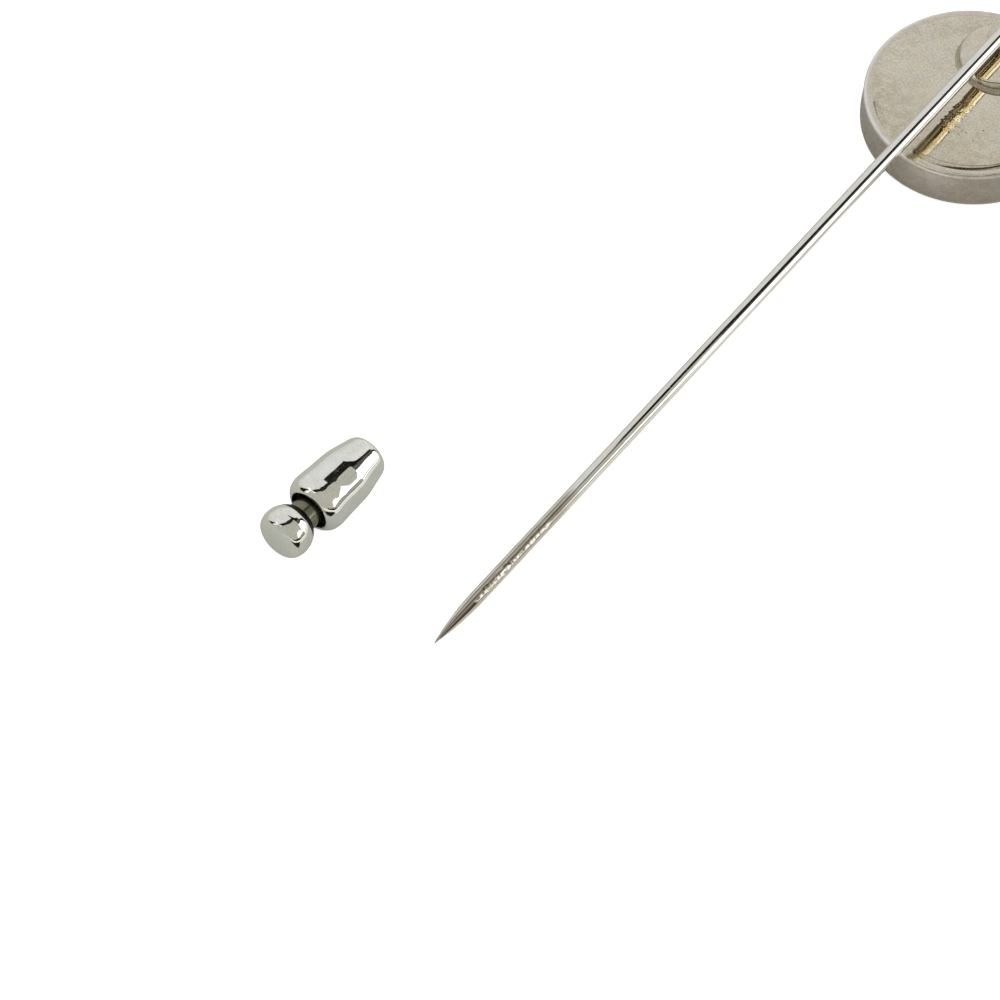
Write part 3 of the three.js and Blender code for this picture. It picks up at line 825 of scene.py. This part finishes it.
cage = mesh_object("cage_tube", *turned(fillet([
    (0.68, 5.0, 0), (0.68, 1.62, 0.02), (1.0, 1.62, 0.02), (1.0, 8.95, 0.1), (0.68, 8.95, 0.03),
    (0.68, 5.0, 0),
], 10.0, 0.03)[:-1], CAGE_SEGMENTS, CLUTCH, closed=True), "clutch_plunger")
window_cutters = []
for index in (1, 2, 3):
    angle, _ = ball_angle(index)
    drill = CLUTCH @ Matrix.Translation((0, 0, BALL_AT)) @ Matrix.Rotation(angle, 4, "Z") \
        @ Matrix.Rotation(math.pi / 2, 4, "Y")
    window_cutters.append(turned([(0, 0.3), (CAGE_WINDOW, 0.3), (CAGE_WINDOW, 1.6), (0, 1.6)], 40, drill))
cut(cage, window_cutters)
cage.data.shade_smooth()
finished(cage, MATERIALS["brass"], "ball_cage")

knob_round = flowing([
    (1.0, 0.0), (1.2, 0.012), (1.5, 0.1), (1.8, 0.31), (1.96, 0.58), *[
        (KNOB_RADIUS * math.cos(math.radians(a)), 1.15 + KNOB_RADIUS * math.sin(math.radians(a)))
        for a in range(-8, 50, 6)
    ],
], 0.06, 0.1)
knob_end = fillet([
    (*knob_round[-1], 0), (1.25, 2.78, 0.08), (1.23, 2.62, 0.03), (1.23, 1.61, 0.03), (0.85, 1.61, 0.03),
    (0.85, 0.75, 0.05), (0, 0.75, 0),
])
knob_outline = [(0, 0), (0.5, 0)] + knob_round + knob_end[1:]
knob = mesh_object("pull_knob", *turned(knob_outline, CLUTCH_SEGMENTS, CLUTCH), "clutch_plunger")
finished(knob, MATERIALS["bright_nickel"], "clutch_knob")


def behind_knob(across, at, facing):
    in_socket = across < 1.26 and at > 0.7
    on_back = facing > 0.45 and at > 1.5
    return in_socket or on_back


# painted shade: the knob's back and its socket are made near-black
paint_shade_faces(knob, behind_knob)


def spring_mesh():
    """A helical spring whose end coils are closed, so that they sit flat."""
    turns, per_turn, sides = 4, 64, 20
    low, high = SPRING_START + SPRING_WIRE + 0.03, SPRING_END - SPRING_WIRE - 0.03
    steps = turns * per_turn
    lift = [0.0]
    for i in range(steps):
        from_end = min(i, steps - i) / per_turn
        lift.append(lift[-1] + 0.35 + 0.65 * min(1.0, from_end / 0.8))
    vertices, faces = [], []
    for i, rise in enumerate(lift):
        a = 2 * math.pi * i / per_turn
        h = low + (high - low) * rise / lift[-1]
        for k in range(sides):
            b = 2 * math.pi * k / sides
            r, place = SPRING_RADIUS + SPRING_WIRE * math.cos(b), h + SPRING_WIRE * math.sin(b)
            vertices.append(CLUTCH @ Vector((r * math.cos(a), r * math.sin(a), place)))
    for i in range(steps):
        for k in range(sides):
            n = (k + 1) % sides
            faces.append((i * sides + k, (i + 1) * sides + k, (i + 1) * sides + n, i * sides + n))
    faces.append(tuple(range(sides)))
    faces.append(tuple(steps * sides + k for k in reversed(range(sides))))
    return vertices, faces


spring = mesh_object("helical_spring", *spring_mesh(), "clutch_body")
finished(spring, MATERIALS["spring_steel"], "release_spring")
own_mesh(spring)


def ball_mesh(centre, seed):
    """A ball made from a divided cube, rubbed a little flat where it grips the wire and the cone."""
    cuts = 20
    places, faces = {}, []
    vertices = []
    inward = Vector((-centre.x, -centre.y, 0)).normalized()

    def vertex(p):
        key = tuple(round(c, 5) for c in p)
        if key not in places:
            direction = Vector(p).normalized()
            worn = 0.006 * math.exp(-((abs(direction.dot(inward)) - 1) / 0.02) ** 2)
            lumps = 0.002 * rounded_noise(direction.x * 3 + seed, direction.y * 3, direction.z * 3)
            places[key] = len(vertices)
            vertices.append(CLUTCH @ (centre + direction * (BALL_RADIUS - worn + lumps)))
        return places[key]

    for axis in range(3):
        for sign in (-1, 1):
            for i in range(cuts):
                for j in range(cuts):
                    corners = []
                    for u, v in ((i, j), (i + 1, j), (i + 1, j + 1), (i, j + 1)):
                        p = [0.0, 0.0, 0.0]
                        p[axis] = float(sign)
                        p[(axis + 1) % 3] = math.tan((2 * u / cuts - 1) * math.pi / 4)
                        p[(axis + 2) % 3] = math.tan((2 * v / cuts - 1) * math.pi / 4)
                        corners.append(vertex(p))
                    faces.append(tuple(corners if sign > 0 else reversed(corners)))
    return vertices, faces


for index in (1, 2, 3):
    _, centre = ball_angle(index)
    ball = mesh_object(f"lock_ball_{index}_round", *ball_mesh(centre, index), f"lock_ball_{index}")
    finished(ball, MATERIALS["ball_steel"], f"locking_ball_{index}")

# ---- camera ----

CAMERA_AZIMUTH = 37.23
CAMERA_ELEVATION = 53.464
CAMERA_ROLL = -0.2265
CAMERA_DISTANCE = 579.08
CAMERA_TARGET = (-7.01, -50.71, 0)
CAMERA_LENS = 281.3

azimuth, elevation = math.radians(CAMERA_AZIMUTH), math.radians(CAMERA_ELEVATION)
back = Vector((math.sin(azimuth) * math.cos(elevation), -math.cos(azimuth) * math.cos(elevation),
               math.sin(elevation)))
right = Vector((math.cos(azimuth), math.sin(azimuth), 0))
up = back.cross(right)
roll = math.radians(CAMERA_ROLL)
right, up = right * math.cos(roll) + up * math.sin(roll), up * math.cos(roll) - right * math.sin(roll)
camera_data = bpy.data.cameras.new("camera")
camera_data.lens = CAMERA_LENS
camera_data.sensor_width = 36.0
camera_data.clip_start = 0.01
camera = bpy.data.objects.new("camera", camera_data)
camera.matrix_world = Matrix.Translation((Vector(CAMERA_TARGET) + back * CAMERA_DISTANCE) * MM) \
    @ Matrix((right, up, back)).transposed().to_4x4()
bpy.context.scene.collection.objects.link(camera)
bpy.context.scene.camera = camera

# ---- studio ----

TENT = (0.80, 0.80, 0.78)
WINDOW = (1.7, 1.7, 1.66)
GAP = (0.012, 0.011, 0.008)
GAP_WIDTH = 17.0
WINDOW_TOP = 66.0


def build_world():
    """A light tent: grey paper on the left, a bright window on the right, and a dark gap between them.

    A direction is given by across, its tilt from overhead toward +X, and by forward, its tilt toward +Y.
    """
    world = bpy.data.worlds.new("tent")
    world.use_nodes = True
    bpy.context.scene.world = world
    s = Shader(world.node_tree)
    direction = s.node("ShaderNodeVectorMath", {0: s.node("ShaderNodeTexCoord").outputs["Generated"]},
                       operation="NORMALIZE").outputs[0]
    x, y, z = s.parts(direction)
    across = s.math("MULTIPLY", s.math("ARCTAN2", x, z), 180 / math.pi)
    forward = s.math("MULTIPLY", s.math("ARCSINE", y), 180 / math.pi)
    ripple = s.rise(s.noise(direction, 6.5, 2.0), 0.3, 0.7, -7.0, 7.0)
    # the window's left edge leans over toward the top
    edge_share = s.curve(s.ramp(forward, -90, 90), [
        (0.0, 0.30), (0.2, 0.36), (0.33, 0.5), (0.42, 0.57), (0.5, 0.59), (0.66, 0.615), (0.75, 0.68),
        (0.83, 0.77), (1.0, 0.95),
    ])
    edge = s.math("ADD", s.math("ADD", s.math("MULTIPLY", edge_share, 180.0), -90.0), ripple)
    beyond = s.math("SUBTRACT", across, edge)
    inside = s.math("MULTIPLY", s.rise(beyond, -1.5, 1.5),
                    s.rise(forward, WINDOW_TOP - 1, WINDOW_TOP + 1, 1, 0))
    outer = s.math("MULTIPLY", s.rise(beyond, -GAP_WIDTH - 1.5, -GAP_WIDTH + 1.5),
                   s.span(forward, 44, 50, WINDOW_TOP + 4, WINDOW_TOP + 7))
    paper = s.mix(s.rise(s.noise(direction, 3.0, 3.0), 0.3, 0.7), tuple(c * 0.94 for c in TENT),
                  tuple(c * 1.05 for c in TENT))
    paper = s.mix(s.rise(s.math("ABSOLUTE", across), 62, 92), paper, tuple(c * 0.86 for c in TENT))
    colour = s.mix(outer, paper, GAP)
    colour = s.mix(inside, colour, WINDOW)
    frame_bar = s.math("MULTIPLY", s.span(across, 79, 81, 90.5, 92.5), s.span(forward, -50, -44, 4, 9))
    colour = s.mix(frame_bar, colour, (0.05, 0.05, 0.045))
    colour = s.mix(s.rise(forward, -54, -48, 1.0, 0.0), colour, (0.52, 0.52, 0.48))
    background = s.node("ShaderNodeBackground", {0: colour, 1: 1.0})
    s.node("ShaderNodeOutputWorld", {0: background.outputs[0]})


build_world()


def plain(name, colour, glow=0.0):
    """A pale studio surface with a faint paper tooth."""
    material = bpy.data.materials.new(name)
    material.use_nodes = True
    s = Shader(material.node_tree)
    tooth = s.noise(s.node("ShaderNodeTexCoord").outputs["Object"], 900.0, 3.0)
    base = s.mix(tooth, tuple(c * 0.985 for c in colour), colour)
    shader = s.node("ShaderNodeBsdfPrincipled", {
        "Base Color": base, "Roughness": 0.9, "Specular IOR Level": 0.0,
        "Emission Color": (1.0, 1.0, 1.0, 1.0), "Emission Strength": glow,
    })
    s.node("ShaderNodeOutputMaterial", {0: shader.outputs[0]})
    return material


def tabletop():
    """The tabletop that the metal mirrors: dull, but brighter in the window light right of the wire."""
    material = bpy.data.materials.new("table_paper")
    material.use_nodes = True
    s = Shader(material.node_tree)
    split = s.parts(s.millimetres())
    lit = s.math("MULTIPLY", s.rise(split[0], -4.0, 2.0), s.rise(split[1], -14.0, -9.0, 1.0, 0.0))
    shade = s.span(split[0], 5.0, 6.5, 10.5, 13.0)
    bright = s.mix(shade, (0.96, 0.96, 0.93), (0.5, 0.5, 0.48))
    colour = s.mix(lit, (0.51, 0.515, 0.48), bright)
    # painted shadow of the pin's tip on the tabletop that only the metal mirrors
    tip_shadow = s.math("MULTIPLY", s.span(split[0], -12.0, -10.0, 6.0, 8.0),
                  s.span(split[1], -79.0, -77.5, -66.5, -65.5))
    colour = s.mix(tip_shadow, colour, (0.012, 0.011, 0.01))
    shader = s.node("ShaderNodeBsdfPrincipled", {"Base Color": colour, "Roughness": 0.9,
                                                 "Specular IOR Level": 0.0})
    s.node("ShaderNodeOutputMaterial", {0: shader.outputs[0]})
    return material


def flat_sheet(name, corners, material):
    mesh = bpy.data.meshes.new(name)
    mesh.from_pydata(corners, [], [tuple(range(len(corners)))])
    obj = bpy.data.objects.new(name, mesh)
    mesh.materials.append(material)
    bpy.context.scene.collection.objects.link(obj)
    return obj


def square(half, z):
    return [(-half, -half, z), (half, -half, z), (half, half, z), (-half, half, z)]


def only_in_metal(obj):
    """Leaves an object to be seen in the metal's reflections and nowhere else."""
    obj.visible_camera = False
    obj.visible_diffuse = False
    obj.visible_shadow = False


# The floor that is seen, and just above it the tabletop that the metal mirrors.
FLOOR_HALF = 2.0
floor = flat_sheet("floor", square(FLOOR_HALF, -0.12 * MM), plain("floor_paper", (0.9, 0.9, 0.9), 0.62))
floor.visible_glossy = False
table = flat_sheet("table_mirrored", square(FLOOR_HALF, -0.03 * MM), tabletop())
only_in_metal(table)


CARD_EYE = Vector((-8, -60, 5))
CARD_DISTANCE = 330.0


def near_card(name, outline, colour, low_colour, distance):
    """A card near the object, seen only in the metal, through (across, forward) degrees from CARD_EYE."""
    edge = flowing(outline + outline[:1], 1.0, 0.5)[:-1]
    middle = tuple(np.mean(outline, 0))
    corners = []
    for across, forward in [middle] + edge:
        a, f = math.radians(across), math.radians(forward)
        toward = Vector((math.sin(a) * math.cos(f), math.sin(f), math.cos(a) * math.cos(f)))
        corners.append(tuple((CARD_EYE + toward * distance) * MM))
    count = len(corners) - 1
    mesh = bpy.data.meshes.new(name)
    mesh.from_pydata(corners, [], [(0, 1 + k, 1 + (k + 1) % count) for k in range(count)])
    material = bpy.data.materials.new(name)
    material.use_nodes = True
    s = Shader(material.node_tree)
    cloth = s.noise(s.node("ShaderNodeTexCoord").outputs["Object"], 38.0, 3.0, 0.6)
    shade = s.mix(s.rise(cloth, 0.4, 0.66), low_colour, colour)
    shader = s.node("ShaderNodeEmission", {0: shade, 1: 1.0})
    s.node("ShaderNodeOutputMaterial", {0: shader.outputs[0]})
    mesh.materials.append(material)
    card = bpy.data.objects.new(name, mesh)
    bpy.context.scene.collection.objects.link(card)
    only_in_metal(card)


near_card("grey_card", [
    (10, 30), (12, 20), (12, 8), (8, -4), (2, -16), (-6, -30), (-16, -44), (-34, -58), (-50, -72),
    (30, -84), (90, -70), (84, -50), (82, -30), (79, -10), (69, -3), (61, 3), (58.5, 12),
    (59.5, 21), (66, 26.5), (66, 29.3), (57, 31), (48, 33.2), (30, 34), (16, 33.5),
], (0.55, 0.545, 0.475), (0.50, 0.49, 0.43), CARD_DISTANCE)
near_card("dark_edge", [
    (-1, 36), (0, 30), (3.5, 25), (1, 20), (-2.5, 15), (-3, 6), (-5, -6), (-11, -18), (-21, -30),
    (-30, -41), (-12, -40), (0, -28), (10, -10), (22, 8), (24, 24), (20, 33), (14, 36), (7, 36),
], (0.05, 0.045, 0.035), (0.004, 0.004, 0.003), CARD_DISTANCE + 6)
near_card("dark_wing", [
    (-21, 34.6), (-19, 31.8), (-3, 31.4), (6, 31.2), (9, 34), (2, 36.5), (-8, 36),
], (0.03, 0.028, 0.022), (0.004, 0.004, 0.003), CARD_DISTANCE + 5)
near_card("dark_band", [
    (-16, 31.5), (-6, 32.5), (0, 33), (9, 33), (17, 34), (24, 35), (26, 41), (24, 50), (18, 55), (12, 51),
    (8, 44), (0, 40), (-10, 36.5), (-17, 34),
], (0.02, 0.018, 0.014), (0.003, 0.003, 0.002), CARD_DISTANCE + 4)
near_card("dim_patch", [
    (21, 32), (32, 33), (39, 33), (41, 42), (40, 50), (32, 55), (22, 54), (20, 43),
], (0.16, 0.155, 0.135), (0.07, 0.068, 0.06), CARD_DISTANCE + 3)
near_card("grey_bar", [
    (79, 5), (77, 20), (78, 31.5), (96, 31.5), (94, 18), (91, 5),
], (0.30, 0.295, 0.27), (0.24, 0.235, 0.215), CARD_DISTANCE - 4)
near_card("dark_block", [
    (84, 4), (92, 8), (99, -4), (104, -18), (103, -33), (94, -36), (87, -24), (83, -8),
], (0.03, 0.028, 0.024), (0.004, 0.004, 0.003), CARD_DISTANCE - 5)
near_card("dark_sill", [
    (44, -45), (60, -47), (80, -49), (97, -37), (111, -42), (113, -56), (97, -55), (80, -53), (60, -51),
    (44, -49),
], (0.03, 0.028, 0.024), (0.006, 0.006, 0.005), CARD_DISTANCE - 6)
near_card("dark_notch", [
    (-104, -25), (-90, -29), (-72, -37), (-50, -43), (-52, -47), (-75, -46), (-92, -48), (-106, -41),
], (0.03, 0.028, 0.024), (0.003, 0.003, 0.002), CARD_DISTANCE - 7)
near_card("white_slit", [
    (-49, -29), (-43, -30), (-38, -41), (-43, -46), (-52, -50), (-62, -54), (-76, -53), (-75, -49.5),
    (-60, -49.5), (-47, -43),
], (1.3, 1.3, 1.28), (1.1, 1.1, 1.08), CARD_DISTANCE - 8)

bpy.context.scene.view_settings.view_transform = "Standard"
bpy.context.scene.view_settings.look = "None"
